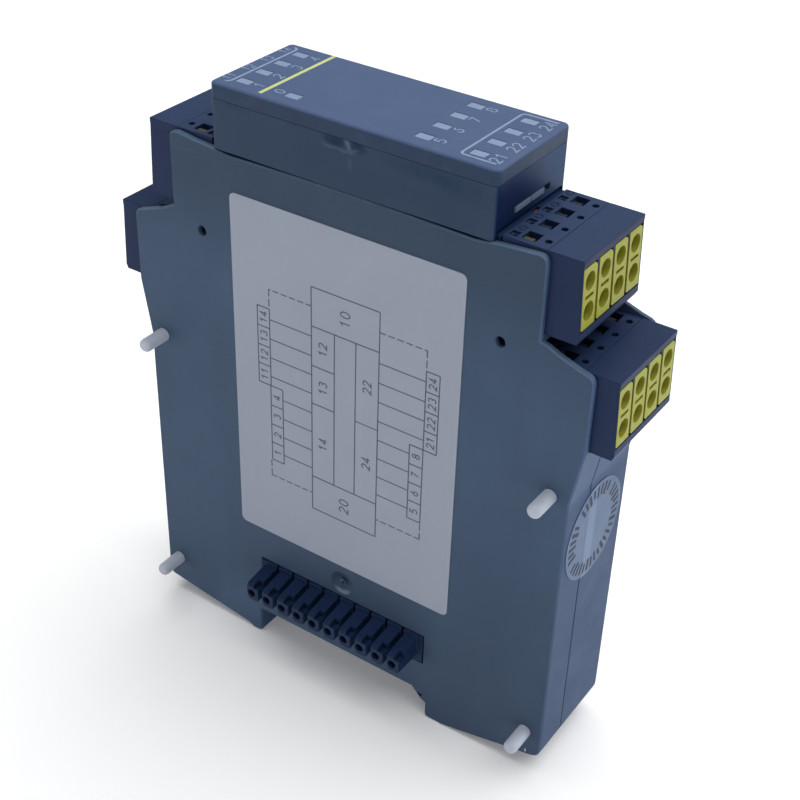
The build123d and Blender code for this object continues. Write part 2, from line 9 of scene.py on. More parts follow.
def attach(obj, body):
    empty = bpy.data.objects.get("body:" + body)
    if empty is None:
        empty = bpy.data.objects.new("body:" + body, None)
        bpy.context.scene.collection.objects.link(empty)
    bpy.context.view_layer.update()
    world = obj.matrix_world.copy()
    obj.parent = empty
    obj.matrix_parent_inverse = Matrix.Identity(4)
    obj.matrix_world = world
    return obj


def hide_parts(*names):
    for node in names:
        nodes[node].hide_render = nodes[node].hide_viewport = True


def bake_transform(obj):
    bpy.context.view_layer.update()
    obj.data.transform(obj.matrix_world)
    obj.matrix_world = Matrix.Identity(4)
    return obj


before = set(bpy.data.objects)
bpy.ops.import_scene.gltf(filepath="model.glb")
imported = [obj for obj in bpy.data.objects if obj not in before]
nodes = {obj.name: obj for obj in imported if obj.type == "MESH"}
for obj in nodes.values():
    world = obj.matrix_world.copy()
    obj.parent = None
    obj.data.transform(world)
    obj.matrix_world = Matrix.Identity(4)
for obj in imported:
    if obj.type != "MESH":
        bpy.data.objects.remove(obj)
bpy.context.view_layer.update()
random.seed(11)
MM = 0.001
scene = bpy.context.scene


# ------------------------------------------------------------ node helpers
class Mat:
    """A small builder for procedural materials in the row frame."""

    def __init__(self, name):
        self.m = bpy.data.materials.new(name)
        self.m.use_nodes = True
        self.t = self.m.node_tree
        self.b = self.t.nodes["Principled BSDF"]
        self.co = self.t.nodes.new("ShaderNodeTexCoord").outputs["Object"]

    def n(self, kind, **kw):
        node = self.t.nodes.new(kind)
        for k, v in kw.items():
            setattr(node, k, v)
        return node

    def link(self, a, b):
        self.t.links.new(a, b)

    def noise(self, scale, detail=4.0, rough=0.55, vec=None, dist=0.0):
        t = self.n("ShaderNodeTexNoise")
        t.inputs["Scale"].default_value = scale
        t.inputs["Detail"].default_value = detail
        t.inputs["Roughness"].default_value = rough
        t.inputs["Distortion"].default_value = dist
        self.link(vec or self.co, t.inputs["Vector"])
        return t.outputs["Fac"]

    def voronoi(self, scale, feature="F1", vec=None):
        t = self.n("ShaderNodeTexVoronoi", feature=feature)
        t.inputs["Scale"].default_value = scale
        self.link(vec or self.co, t.inputs["Vector"])
        return t.outputs["Distance"]

    def scaled(self, s):
        t = self.n("ShaderNodeMapping")
        t.inputs["Scale"].default_value = s
        self.link(self.co, t.inputs["Vector"])
        return t.outputs["Vector"]

    def ramp(self, fac, stops):
        r = self.n("ShaderNodeValToRGB")
        els = r.color_ramp.elements
        while len(els) < len(stops):
            els.new(0.5)
        for e, (p, c) in zip(els, stops):
            e.position = p
            e.color = (c, c, c, 1) if isinstance(c, (int, float)) else (*c, 1)
        self.link(fac, r.inputs["Fac"])
        return r.outputs["Color"]

    def math(self, op, a, b=None, clamp=False):
        m = self.n("ShaderNodeMath", operation=op, use_clamp=clamp)
        for i, v in enumerate((a, b)):
            if v is None:
                continue
            if isinstance(v, (int, float)):
                m.inputs[i].default_value = v
            else:
                self.link(v, m.inputs[i])
        return m.outputs[0]

    def mix(self, fac, a, b, mode="MIX"):
        m = self.n("ShaderNodeMix", data_type="RGBA", blend_type=mode)
        for sock, v in ((m.inputs[0], fac), (m.inputs[6], a), (m.inputs[7], b)):
            if isinstance(v, (int, float)):
                sock.default_value = v
            elif isinstance(v, tuple):
                sock.default_value = (*v, 1)
            else:
                self.link(v, sock)
        return m.outputs[2]

    def axis(self, i):
        s = self.n("ShaderNodeSeparateXYZ")
        self.link(self.co, s.inputs[0])
        return s.outputs[i]

    def near(self, p, r0, r1, squash=(1, 1, 1)):
        """1 at the point p, falling to 0 between r0 and r1 (mm)."""
        mp = self.n("ShaderNodeMapping")
        mp.inputs["Location"].default_value = [-a * s * MM for a, s in zip(p, squash)]
        mp.inputs["Scale"].default_value = squash
        self.link(self.co, mp.inputs["Vector"])
        ln = self.n("ShaderNodeVectorMath", operation="LENGTH")
        self.link(mp.outputs[0], ln.inputs[0])
        mr = self.n("ShaderNodeMapRange", interpolation_type="SMOOTHSTEP")
        mr.inputs["From Min"].default_value = r0 * MM
        mr.inputs["From Max"].default_value = r1 * MM
        mr.inputs["To Min"].default_value = 1.0
        mr.inputs["To Max"].default_value = 0.0
        self.link(ln.outputs["Value"], mr.inputs["Value"])
        return mr.outputs[0]

    def facing(self, i, lo, hi, sign=1.0):
        """1 where the object-space normal's part i (times sign) is above hi, 0 below lo."""
        tc = self.n("ShaderNodeTexCoord")
        s = self.n("ShaderNodeSeparateXYZ")
        self.link(tc.outputs["Normal"], s.inputs[0])
        v = self.math("MULTIPLY", s.outputs[i], sign)
        mr = self.n("ShaderNodeMapRange")
        mr.inputs["From Min"].default_value = lo
        mr.inputs["From Max"].default_value = hi
        self.link(v, mr.inputs["Value"])
        return mr.outputs[0]

    def between(self, i, a, b, soft=0.3):
        """1 where coordinate i lies between a and b (mm), with soft ends."""
        out = None
        for edge, sg in ((a, 1.0), (b, -1.0)):
            mr = self.n("ShaderNodeMapRange", interpolation_type="SMOOTHSTEP")
            mr.inputs["From Min"].default_value = (edge - sg * soft) * MM
            mr.inputs["From Max"].default_value = (edge + sg * soft) * MM
            self.link(self.axis(i), mr.inputs["Value"])
            out = mr.outputs[0] if out is None else self.math("MULTIPLY", out, mr.outputs[0])
        return out

    def bump(self, height, strength, dist, bevel=0.0):
        b = self.n("ShaderNodeBump")
        b.inputs["Strength"].default_value = strength
        b.inputs["Distance"].default_value = dist * MM
        self.link(height, b.inputs["Height"])
        if bevel:
            v = self.n("ShaderNodeBevel", samples=4)
            v.inputs["Radius"].default_value = bevel * MM
            self.link(v.outputs[0], b.inputs["Normal"])
        self.link(b.outputs[0], self.b.inputs["Normal"])


def scale_c(c, k):
    return tuple(min(1.0, v * k) for v in c)


def plastic(name, base, rough=0.45, grain=0.25, var=0.10, bevel=0.25, spec=0.4, extra=None,
            dust=0.0, sheen=0.0):
    m = Mat(name)
    cloud = m.noise(38.0, 5.0, 0.6)
    streak = m.noise(60.0, 4.0, 0.6, m.scaled((1.0, 1.0, 0.16)))
    fac = m.math("MULTIPLY", cloud, streak)
    col = m.mix(m.ramp(fac, [(0.12, 0.0), (0.42, 1.0)]), scale_c(base, 1 - var), scale_c(base, 1 + var))
    speck = m.ramp(m.noise(2600.0, 2.0, 0.7), [(0.66, 0.0), (0.80, 1.0)])
    col = m.mix(m.math("MULTIPLY", speck, 0.10), col, scale_c(base, 1.9))
    if dust:
        d = m.ramp(m.noise(420.0, 6.0, 0.72), [(0.55, 0.0), (0.78, 1.0)])
        col = m.mix(m.math("MULTIPLY", d, dust), col, (0.30, 0.34, 0.40))
    height = m.mix(0.5, m.noise(3400.0, 3.0, 0.6), m.voronoi(5200.0))
    if extra:
        col, height = extra(m, col, height)
    m.link(col, m.b.inputs["Base Color"])
    r = m.ramp(m.noise(140.0, 5.0, 0.6), [(0.3, max(0.0, rough - 0.06)), (0.7, min(1.0, rough + 0.07))])
    m.link(r, m.b.inputs["Roughness"])
    m.b.inputs["Specular IOR Level"].default_value = spec
    if sheen:
        m.b.inputs["Sheen Weight"].default_value = sheen
    m.bump(height, grain, 0.02, bevel)
    return m.m


def metal(name, base, rough=0.3, brushed=(1, 1, 1)):
    m = Mat(name)
    n1 = m.noise(1500.0, 4.0, 0.6, m.scaled(brushed))
    m.link(m.mix(n1, scale_c(base, 0.8), scale_c(base, 1.15)), m.b.inputs["Base Color"])
    m.b.inputs["Metallic"].default_value = 1.0
    m.link(m.ramp(n1, [(0.3, rough - 0.08), (0.7, rough + 0.1)]), m.b.inputs["Roughness"])
    m.bump(n1, 0.15, 0.01)
    return m.m


def dress(node, mat):
    o = nodes[node]
    o.data.materials.clear()
    o.data.materials.append(mat)


# --------------------------------------------------------------- materials
HOUSING = (0.0585, 0.0950, 0.159)


def housing_marks(m, col, height):
    # painted shadow: darker above the bus fingers and round the lower pegs, where they shade the side
    s = m.near((4.0, -11.3, 16.5), 4.0, 26.0, (1.0, 1.0, 2.6))
    s = m.math("MULTIPLY", s, m.ramp(m.noise(130.0, 5.0, 0.65), [(0.30, 0.45), (0.65, 1.0)]))
    col = m.mix(m.math("MULTIPLY", s, 0.36), col, scale_c(HOUSING, 0.42))
    # painted shade: the lower right part is a little darker, away from the light on the left
    low = m.near((36.0, -11.3, 2.0), 4.0, 56.0)
    col = m.mix(m.math("MULTIPLY", low, 0.32), col, scale_c(HOUSING, 0.45))
    # the strip below the hood lies in its shade
    mr = m.n("ShaderNodeMapRange", interpolation_type="SMOOTHSTEP")
    mr.inputs["From Min"].default_value = 76.0 * MM
    mr.inputs["From Max"].default_value = 97.0 * MM
    m.link(m.axis(2), mr.inputs["Value"])
    side = m.facing(1, 0.6, 0.9, -1.0)
    col = m.mix(m.math("MULTIPLY", m.math("MULTIPLY", mr.outputs[0], side), 0.46), col, scale_c(HOUSING, 0.45))
    # painted light: the left foot is painted paler, as lit from the left
    col = m.mix(m.math("MULTIPLY", m.near((-24.0, -11.3, -3.5), 3.0, 13.0), 0.35), col, scale_c(HOUSING, 1.6))
    # painted highlight along the rounded edges of the side face, stronger where they face upwards
    edge = m.math("MULTIPLY", m.facing(1, 0.12, 0.35, -1.0), m.math("SUBTRACT", 1.0, m.facing(1, 0.82, 0.97, -1.0)))
    edge = m.math("MULTIPLY", edge, m.math("SUBTRACT", 1.0, m.near((0.0, -11.3, 18.0), 3.2, 3.6)))
    edge = m.math("MULTIPLY", edge, m.ramp(m.noise(90.0, 4.0, 0.6), [(0.30, 0.45), (0.62, 1.0)]))
    edge = m.math("MULTIPLY", edge, m.math("ADD", 0.62, m.math("MULTIPLY", m.facing(2, 0.0, 0.35), 0.38)))
    col = m.mix(m.math("MULTIPLY", edge, 0.50), col, (0.140, 0.215, 0.340))
    # moulded dimple: painted shade on its upper left wall and in the small hole at its centre, painted highlights on
    # its lower rim and on a small nub
    disc = m.near((0.0, -11.3, 18.0), 2.45, 2.85)
    dark = m.math("MULTIPLY", disc, m.math("SUBTRACT", 1.0, m.near((0.45, -11.3, 17.45), 1.9, 2.5)))
    col = m.mix(m.math("MULTIPLY", dark, 0.45), col, (0.012, 0.024, 0.052))
    pale = m.math("MULTIPLY", disc, m.math("SUBTRACT", 1.0, m.near((-0.1, -11.3, 18.55), 2.3, 2.75)))
    pale = m.math("MULTIPLY", pale, m.near((0.1, -11.3, 15.6), 0.9, 2.6))
    col = m.mix(m.math("MULTIPLY", pale, 0.75), col, (0.165, 0.215, 0.290))
    col = m.mix(m.math("MULTIPLY", m.near((-0.3, -11.3, 18.5), 0.15, 0.50), 0.45), col, (0.120, 0.165, 0.240))
    col = m.mix(m.math("MULTIPLY", m.near((0.1, -11.3, 18.05), 0.10, 0.40), 0.50), col, (0.004, 0.010, 0.026))
    # painted light: the end face is tinted bluer by the light falling on it
    col = m.mix(m.math("MULTIPLY", m.facing(0, 0.6, 0.9), 0.75), col, (0.0485, 0.0840, 0.176))
    # painted light: where it faces right between 58 and 90 mm up, the end face is painted lighter
    upper = m.math("MULTIPLY", m.facing(0, 0.4, 0.7), m.between(2, 58.0, 90.0, 2.0))
    col = m.mix(m.math("MULTIPLY", upper, 0.75), col, (0.080, 0.131, 0.248))
    # fine scratches
    sc = m.noise(24.0, 3.0, 0.6, m.scaled((0.6, 1.0, 9.0)), 1.5)
    line = m.ramp(sc, [(0.492, 0.0), (0.5, 1.0), (0.508, 0.0)])
    gate = m.ramp(m.noise(55.0, 2.0), [(0.60, 0.0), (0.70, 1.0)])
    k = m.math("MULTIPLY", m.math("MULTIPLY", line, gate), 0.14)
    col = m.mix(k, col, scale_c(HOUSING, 2.0))
    # pale rub at the right lower corner
    rub = m.math("MULTIPLY", m.near((43.2, -11.3, -1.4), 0.15, 0.75, (2.6, 1, 1)), 0.8)
    col = m.mix(rub, col, (0.50, 0.55, 0.62))
    return col, height


housing = plastic("housing_plastic", HOUSING, rough=0.52, grain=0.30, extra=housing_marks, dust=0.02, spec=0.10)


def hood_marks(m, col, height):
    # pressed spot on the long side, in colour and bump only: painted shade in a dark hollow, painted highlights on a
    # pale lower rim and a pale ridge
    hollow = m.near((-2.1, -11.3, 111.0), 0.8, 3.3, (1.0, 1.0, 2.0))
    hollow2 = m.near((2.4, -11.3, 110.9), 0.5, 2.4, (1.0, 1.0, 1.5))
    n = m.ramp(m.noise(420.0, 5.0, 0.65), [(0.3, 0.55), (0.65, 1.0)])
    col = m.mix(m.math("MULTIPLY", m.math("MULTIPLY", m.math("MAXIMUM", hollow, hollow2), n), 0.90), col,
                (0.006, 0.020, 0.056))
    wob = m.math("MULTIPLY", m.math("SUBTRACT", m.noise(330.0, 4.0), 0.5), 0.0018)
    x, z = m.axis(0), m.axis(2)
    # rim: a painted highlight in a shallow arc below the hollow
    arc = m.math("ADD", m.math("MULTIPLY", m.math("MULTIPLY", m.math("ADD", x, 0.0015), m.math("ADD", x, 0.0015)), 55.0),
                 0.1094)
    d = m.math("ABSOLUTE", m.math("SUBTRACT", z, m.math("ADD", arc, wob)))
    rim = m.ramp(m.math("MULTIPLY", d, 1000.0), [(0.0, 1.0), (0.45, 0.0)])
    rim = m.math("MULTIPLY", rim, m.near((-1.0, -11.3, 109.8), 2.6, 4.6, (1.0, 1.0, 1.6)))
    col = m.mix(m.math("MULTIPLY", rim, 0.42), col, (0.094, 0.142, 0.226))
    # ridge: a painted highlight in a short steep streak between the two hollows, running on faintly below
    dr = m.math("ABSOLUTE", m.math("ADD", m.math("SUBTRACT", x, 0.0005),
                                   m.math("ADD", m.math("MULTIPLY", m.math("SUBTRACT", z, 0.1110), 0.45), wob)))
    ridge = m.ramp(m.math("MULTIPLY", dr, 1000.0), [(0.0, 1.0), (0.85, 0.0)])
    ridge = m.math("MULTIPLY", ridge, m.near((0.5, -11.3, 111.1), 0.5, 1.7))
    col = m.mix(m.math("MULTIPLY", ridge, 0.62), col, (0.120, 0.168, 0.252))
    low = m.math("MULTIPLY", m.near((0.9, -11.3, 107.4), 0.2, 1.1, (1.6, 1.0, 0.6)), 0.22)
    col = m.mix(low, col, (0.108, 0.150, 0.230))
    # darker mottled patches on the long side, one broad and faint along its lower part
    for p, r, q, sq in (((-23.2, -11.3, 111.4), 3.6, 0.50, (1, 1, 2.9)), ((14.5, -11.3, 110.4), 11.0, 0.48, (1, 1, 4.6)),
                        ((22.0, -11.3, 109.6), 8.0, 0.40, (1, 1, 2.6)), ((4.0, -11.3, 105.5), 24.0, 0.16, (1, 1, 6.0))):
        f = m.near(p, r * 0.15, r, sq)
        n = m.ramp(m.noise(300.0, 6.0, 0.7), [(0.3, 0.25), (0.7, 1.0)])
        col = m.mix(m.math("MULTIPLY", m.math("MULTIPLY", f, n), q), col, (0.006, 0.026, 0.070))
    # the right end face is painted lighter and bluer, as lit from the right, and painted shade darkens it towards its
    # near lower corner, in the shade of the plugs
    end = m.facing(0, 0.6, 0.9)
    col = m.mix(m.math("MULTIPLY", end, 0.9), col, (0.041, 0.078, 0.162))
    shade = m.near((28.5, -9.5, 103.2), 7.5, 19.0, (1.0, 1.0, 1.25))
    col = m.mix(m.math("MULTIPLY", m.math("MULTIPLY", end, shade), 0.93), col, (0.000, 0.006, 0.040))
    height = m.mix(m.math("MAXIMUM", hollow, hollow2), height, m.voronoi(420.0, "SMOOTH_F1"))
    return col, height


hood_mat = plastic("hood_plastic", (0.0365, 0.0605, 0.110), rough=0.5, grain=0.30, extra=hood_marks, dust=0.015, spec=0.08)


def front_marks(m, col, height):
    # the printed film covers only the upper face: the sides are plain plastic
    z = m.ramp(m.math("MULTIPLY", m.math("SUBTRACT", m.axis(2), 0.11385), 1800.0, True), [(0.2, 0.0), (0.8, 1.0)])
    film = m.mix(m.ramp(m.noise(90.0, 4.0), [(0.3, 0.0), (0.7, 1.0)]), (0.068, 0.105, 0.201), (0.077, 0.115, 0.214))
    col = m.mix(z, col, film)
    n = m.ramp(m.noise(220.0, 6.0, 0.7), [(0.55, 0.0), (0.85, 1.0)])
    col = m.mix(m.math("MULTIPLY", n, 0.10), col, (0.20, 0.25, 0.38))
    return col, height


front_mat = plastic("front_film", (0.031, 0.053, 0.103), rough=0.42, grain=0.16, extra=front_marks, dust=0.015, spec=0.10)


def plug_painted_top_light(m, col, height):
    # painted light: the tops of the upper plugs are painted a little paler, as lit from above
    top = m.math("MULTIPLY", m.facing(2, 0.6, 0.9), m.between(2, 96.0, 130.0, 2.0))
    return m.mix(m.math("MULTIPLY", top, 0.62), col, (0.031, 0.053, 0.112)), height


plug_mat = plastic("plug_plastic", (0.0165, 0.0305, 0.080), rough=0.42, grain=0.22, dust=0.02, spec=0.09,
                   extra=plug_painted_top_light)
bus_mat = plastic("bus_plastic", (0.0115, 0.026, 0.073), rough=0.42, grain=0.22, spec=0.10)
header_mat = plastic("header_plastic", (0.012, 0.027, 0.074), rough=0.45, grain=0.2, spec=0.10)


def funnel_marks(m, col, height):
    d = m.ramp(m.noise(500.0, 5.0, 0.7), [(0.45, 0.0), (0.75, 1.0)])
    col = m.mix(m.math("MULTIPLY", d, 0.14), col, (0.30, 0.25, 0.03))
    # painted shade: the funnel walls are painted darker than the flat face, as shade inside the funnels
    flat = m.math("MAXIMUM", m.facing(0, 0.75, 0.95), m.facing(0, 0.75, 0.95, -1.0))
    col = m.mix(m.math("MULTIPLY", m.math("SUBTRACT", 1.0, flat), 0.42), col, (0.150, 0.128, 0.005))
    # the lugs at the back sit deep in the shade of the square openings
    mr = m.n("ShaderNodeMapRange")
    for key, v in (("From Min", 85.5), ("From Max", 87.5), ("To Min", 43.1), ("To Max", 34.6)):
        mr.inputs[key].default_value = v * MM
    m.link(m.axis(2), mr.inputs["Value"])
    back = m.math("LESS_THAN", m.math("ABSOLUTE", m.axis(0)), mr.outputs[0])
    front_one = m.math("MULTIPLY", m.math("LESS_THAN", m.axis(1), -5.0 * MM), m.math("GREATER_THAN", m.axis(2), 86.5 * MM))
    k = m.math("SUBTRACT", 0.99, m.math("MULTIPLY", front_one, 0.24))
    col = m.mix(m.math("MULTIPLY", back, k), col, (0.004, 0.010, 0.030))
    return col, height


insert_mat = plastic("funnel_plastic", (0.303, 0.318, 0.032), rough=0.40, grain=0.10, var=0.06, extra=funnel_marks,
                     bevel=0.2, spec=0.2)
peg_mat = plastic("peg_plastic", (0.460, 0.500, 0.590), rough=0.42, grain=0.10, var=0.05, bevel=0.0)
catch_mat = plastic("catch_plastic", (0.115, 0.155, 0.240), rough=0.45, grain=0.2, spec=0.12)
red_mat = plastic("coding_tab_plastic", (0.42, 0.03, 0.08), rough=0.4, grain=0.1)
latch_mat = plastic("latch_plastic", (0.045, 0.052, 0.070), rough=0.4, grain=0.2)
chip_mat = plastic("chip_epoxy", (0.018, 0.018, 0.02), rough=0.5, grain=0.3)
core_mat = plastic("ferrite", (0.03, 0.03, 0.032), rough=0.55, grain=0.4)


def board_lines(m, col, height):
    v = m.scaled((1.0, 0.0, 1.0))
    tr = m.ramp(m.voronoi(420.0, "DISTANCE_TO_EDGE", v), [(0.0, 1.0), (0.07, 0.0)])
    return m.mix(m.math("MULTIPLY", tr, 0.5), col, (0.05, 0.22, 0.10)), height


board_mat = plastic("board_resist", (0.012, 0.085, 0.035), rough=0.3, grain=0.1, extra=board_lines)
spring_mat = metal("spring_steel", (0.55, 0.55, 0.57), 0.3)
contact_mat = metal("tinned_contact", (0.62, 0.58, 0.45), 0.3)
can_mat = metal("can_aluminium", (0.6, 0.6, 0.62), 0.28)


def label_marks(m, col, height):
    f = m.ramp(m.noise(34.0, 5.0, 0.55), [(0.35, 0.0), (0.65, 1.0)])
    col = m.mix(m.math("MULTIPLY", f, 0.30), col, (0.298, 0.332, 0.406))
    sm = m.ramp(m.noise(160.0, 5.0, 0.7, m.scaled((1, 1, 0.35))), [(0.58, 0.0), (0.8, 1.0)])
    col = m.mix(m.math("MULTIPLY", sm, 0.10), col, (0.17, 0.195, 0.245))
    return col, height


label_mat = plastic("label_film", (0.320, 0.355, 0.432), rough=0.5, grain=0.10, var=0.03, extra=label_marks,
                    bevel=0.0, spec=0.25)


def seal_marks(m, col, height):
    # the film bridges the seam, and its middle strip catches more light
    col = m.mix(m.math("MULTIPLY", m.between(1, -3.1, -0.2, 0.45), 0.9), col, (0.150, 0.220, 0.352))
    ring = m.math("SUBTRACT", m.near((46.4, -0.2, 47.1), 9.3, 9.9), m.near((46.4, -0.2, 47.1), 6.0, 6.5))
    col = m.mix(m.math("MULTIPLY", ring, 0.30), col, (0.084, 0.130, 0.220))
    s = m.math("MULTIPLY", m.math("ABSOLUTE", m.math("ADD", m.axis(1), 0.0033)), 1000.0)
    seam = m.ramp(s, [(0.0, 1.0), (0.45, 0.0)])
    col = m.mix(m.math("MULTIPLY", seam, 0.35), col, (0.045, 0.075, 0.135))
    return col, height


seal_mat = plastic("seal_film", (0.101, 0.158, 0.270), rough=0.36, grain=0.08, var=0.04, extra=seal_marks,
                   bevel=0.0, spec=0.10)

m = Mat("light_guide_clear")
n = m.noise(260.0, 4.0)
m.link(m.mix(n, (0.208, 0.276, 0.440), (0.243, 0.313, 0.475)), m.b.inputs["Base Color"])
m.link(m.ramp(m.noise(900.0, 3.0), [(0.3, 0.28), (0.7, 0.40)]), m.b.inputs["Roughness"])
m.b.inputs["Subsurface Weight"].default_value = 0.25
m.b.inputs["Subsurface Radius"].default_value = (0.0010, 0.0012, 0.0016)
m.b.inputs["Subsurface Scale"].default_value = 1.0
m.bump(m.noise(1400.0, 2.0), 0.06, 0.02)
guide_mat = m.m

dress("side_cover", housing)
dress("housing_tub", housing)
dress("front_hood", hood_mat)
dress("front_plate", front_mat)
dress("light_guide", guide_mat)
dress("hood_catches", catch_mat)
dress("side_label", label_mat)
dress("end_seal", seal_mat)
dress("locating_pegs", peg_mat)
dress("peg_sockets", housing)
dress("coding_tab", red_mat)
dress("rail_latch", latch_mat)
dress("latch_spring", spring_mat)
for nm in ("bus_plug", "bus_socket"):
    dress(nm, bus_mat)
dress("bus_contacts", contact_mat)
for nm in ("main_board", "channel_board", "bus_board", "indicator_board"):
    dress(nm, board_mat)
for nm in ("board_link", "front_link", "controllers", "input_couplers", "output_switches"):
    dress(nm, chip_mat)
for nm in ("isolating_transformer", "power_choke"):
    dress(nm, core_mat)
dress("smoothing_caps", can_mat)
dress("indicator_leds", guide_mat)
for s in ("upper_right", "lower_right", "upper_left", "lower_left"):
    dress("plug_body_" + s, plug_mat)
    dress("wire_funnels_" + s, insert_mat)
    dress("clamp_springs_" + s, spring_mat)
    dress("plug_contacts_" + s, contact_mat)
    dress("header_" + s, header_mat)
    dress("header_pins_" + s, contact_mat)


# ------------------------------------------------------------------- print
def ink(name, base, alt, rough=0.45):
    m = Mat(name)
    m.link(m.mix(m.ramp(m.noise(900.0, 5.0, 0.7), [(0.35, 0.0), (0.7, 1.0)]), base, alt), m.b.inputs["Base Color"])
    m.link(m.ramp(m.noise(700.0, 3.0), [(0.3, rough - 0.05), (0.7, rough + 0.05)]), m.b.inputs["Roughness"])
    m.b.inputs["Specular IOR Level"].default_value = 0.12
    m.bump(m.noise(2400.0, 3.0), 0.12, 0.01)
    return m.m


ink_light = ink("print_pale", (0.252, 0.328, 0.470), (0.206, 0.271, 0.408))
ink_green = ink("print_yellow_green", (0.56, 0.60, 0.25), (0.50, 0.54, 0.22))
ink_dark = ink("print_dark", (0.084, 0.097, 0.127), (0.113, 0.128, 0.161))
ink_seal = ink("print_seal", (0.008, 0.020, 0.056), (0.016, 0.032, 0.076))

THICK = 0.02


class Print:
    """Thin raised print on a plane: origin, two in-plane directions, normal."""

    def __init__(self, name, o, e1, e2, mat):
        self.bm = bmesh.new()
        self.name, self.mat = name, mat
        self.o, self.e1, self.e2 = Vector(o), Vector(e1), Vector(e2)
        self.nrm = self.e1.cross(self.e2)

    def pt(self, a, b, h):
        return (self.o + self.e1 * a + self.e2 * b + self.nrm * h) * MM

    def poly(self, pts, h=THICK):
        top = [self.bm.verts.new(self.pt(a, b, h)) for a, b in pts]
        low = [self.bm.verts.new(self.pt(a, b, 0.0)) for a, b in pts]
        n = len(pts)
        self.bm.faces.new(top)
        self.bm.faces.new(low[::-1])
        for i in range(n):
            j = (i + 1) % n
            self.bm.faces.new((top[j], top[i], low[i], low[j]))

    def line(self, p, q, w):
        d = Vector((q[0] - p[0], q[1] - p[1]))
        u = d.normalized() * (w / 2)
        v = Vector((-u.y, u.x))
        a, b = Vector(p) - u, Vector(q) + u
        # a slightly uneven printed edge
        k = 1 + random.uniform(-0.05, 0.05)
        self.poly([tuple(a - v * k), tuple(b - v), tuple(b + v * k), tuple(a + v)])

    def path(self, pts, w):
        """A mitred stroke along pts."""
        pts = [Vector(p) for p in pts]
        left, right = [], []
        for i, p in enumerate(pts):
            d0 = (p - pts[i - 1]).normalized() if i else (pts[1] - p).normalized()
            d1 = (pts[i + 1] - p).normalized() if i < len(pts) - 1 else d0
            t = (d0 + d1).normalized()
            nn = Vector((-t.y, t.x))
            k = (w / 2) / max(0.35, nn.dot(Vector((-d0.y, d0.x))))
            left.append(p + nn * k)
            right.append(p - nn * k)
        for i in range(len(pts) - 1):
            self.poly([tuple(right[i]), tuple(right[i + 1]), tuple(left[i + 1]), tuple(left[i])])

    def rect(self, a0, b0, a1, b1, w):
        self.path([(a0, b0), (a1, b0)], w)
        self.path([(a1, b0), (a1, b1)], w)
        self.path([(a1, b1), (a0, b1)], w)
        self.path([(a0, b1), (a0, b0)], w)

    def dashed(self, p, q, w, on=1.1, off=0.75):
        p, q = Vector(p), Vector(q)
        L = (q - p).length
        d = (q - p) / L
        s = 0.0
        while s < L:
            e = min(L, s + on)
            self.line(tuple(p + d * s), tuple(p + d * e), w)
            s = e + off

    def digits(self, text, a, b, size, w, turn=0.0, aspect=0.62):
        """Plain stroke numerals, centred on (a, b); turn in quarter turns."""
        total = len(text) * size * aspect + (len(text) - 1) * size * 0.28
        x = -total / 2
        c, s = math.cos(turn * math.pi / 2), math.sin(turn * math.pi / 2)
        for ch in text:
            for stroke in STROKES[ch]:
                pts = []
                for u, v in stroke:
                    lx, ly = x + u * size * aspect, (v - 0.5) * size
                    pts.append((a + lx * c - ly * s, b + lx * s + ly * c))
                self.path(pts, w)
            x += size * aspect + size * 0.28

    def done(self, body="module"):
        me = bpy.data.meshes.new(self.name)
        bmesh.ops.recalc_face_normals(self.bm, faces=self.bm.faces)
        self.bm.to_mesh(me)
        self.bm.free()
        o = bpy.data.objects.new(self.name, me)
        scene.collection.objects.link(o)
        me.materials.append(self.mat)
        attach(o, body)
        return o


def oval(cx, cy, rx, ry, a0, a1, n=10):
    return [(cx + rx * math.cos(math.radians(a0 + (a1 - a0) * i / n)),
             cy + ry * math.sin(math.radians(a0 + (a1 - a0) * i / n))) for i in range(n + 1)]


STROKES = {
    "0": [oval(0.5, 0.5, 0.46, 0.5, 90, 450, 18)],
    "1": [[(0.12, 0.76), (0.55, 1.0), (0.55, 0.0)]],
    "2": [oval(0.5, 0.72, 0.44, 0.28, 165, -30, 10) + [(0.05, 0.0), (0.96, 0.0)]],
    "3": [oval(0.46, 0.74, 0.42, 0.26, 150, -80, 10), oval(0.46, 0.26, 0.46, 0.26, 80, -150, 10)],
    "4": [[(0.98, 0.26), (0.04, 0.26), (0.68, 1.0), (0.68, 0.0)]],
    "5": [[(0.9, 1.0), (0.16, 1.0), (0.1, 0.56)] + oval(0.46, 0.32, 0.46, 0.32, 120, -145, 12)],
    "6": [[(0.78, 1.0), (0.22, 0.56)] + oval(0.5, 0.3, 0.44, 0.3, 150, -210, 16)],
    "7": [[(0.05, 1.0), (0.95, 1.0), (0.36, 0.0)]],
    "8": [oval(0.5, 0.75, 0.38, 0.25, 90, 450, 14), oval(0.5, 0.25, 0.46, 0.25, 90, 450, 14)],
    "9": [[(0.22, 0.0), (0.78, 0.44)] + oval(0.5, 0.7, 0.44, 0.3, -30, 330, 16)],
}

PITCH = 5.08
ROWS = [(i - 1.5) * PITCH for i in range(4)]

# front face: plane z = 114.5, first direction +X, second +Y
top_z = 114.5
pp = Print("front_print", (0, 0, top_z), (1, 0, 0), (0, 1, 0), ink_light)
W1 = 0.34
# left bracket, curved ends turning outwards
pp.path(oval(-26.7, 8.75, 1.15, 1.0, 80, 0, 6) + [(-25.55, 8.0), (-25.55, -8.2)]
        + oval(-26.5, -8.6, 0.95, 0.85, 0, -80, 6), 0.46)
